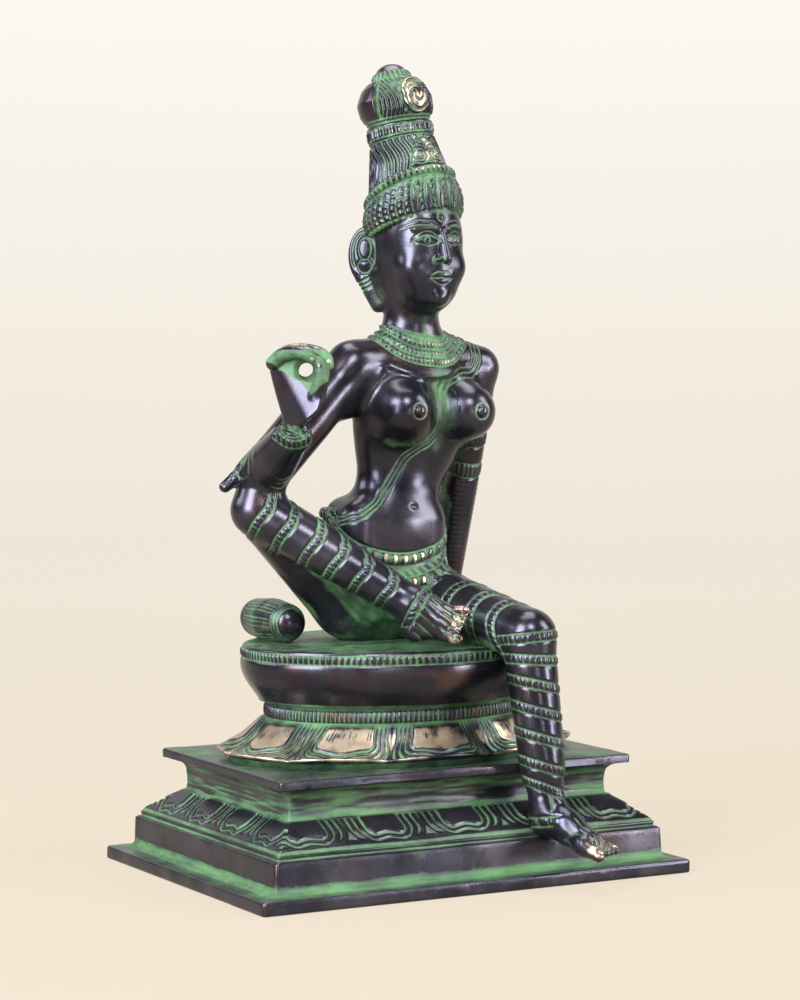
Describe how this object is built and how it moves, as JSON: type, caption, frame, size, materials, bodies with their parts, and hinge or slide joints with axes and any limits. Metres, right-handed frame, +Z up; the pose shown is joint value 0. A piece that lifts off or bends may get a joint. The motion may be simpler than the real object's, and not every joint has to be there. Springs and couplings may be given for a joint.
{
  "type": "parvati figure",
  "caption": "Cast metal goddess figure, seated with one leg hanging, on a cushion and lotus seat above a stepped oblong plinth.",
  "frame": {"origin": "centre of the plinth's underside", "axes": "+Z up, the figure faces -Y, her left side is +X"},
  "size_m": [0.18, 0.1577, 0.3048],
  "materials": {
    "figure_metal": "blackened cast brass, satin, with green patina in the hollows and bare brass on worn petals and toes",
    "plinth_metal": "blackened cast brass with green patina in the coves and brown worn edges"
  },
  "bodies": {
    "root": {"figure_on_lotus_seat": "figure_metal", "stepped_plinth": "plinth_metal"}
  },
  "joints": []
}
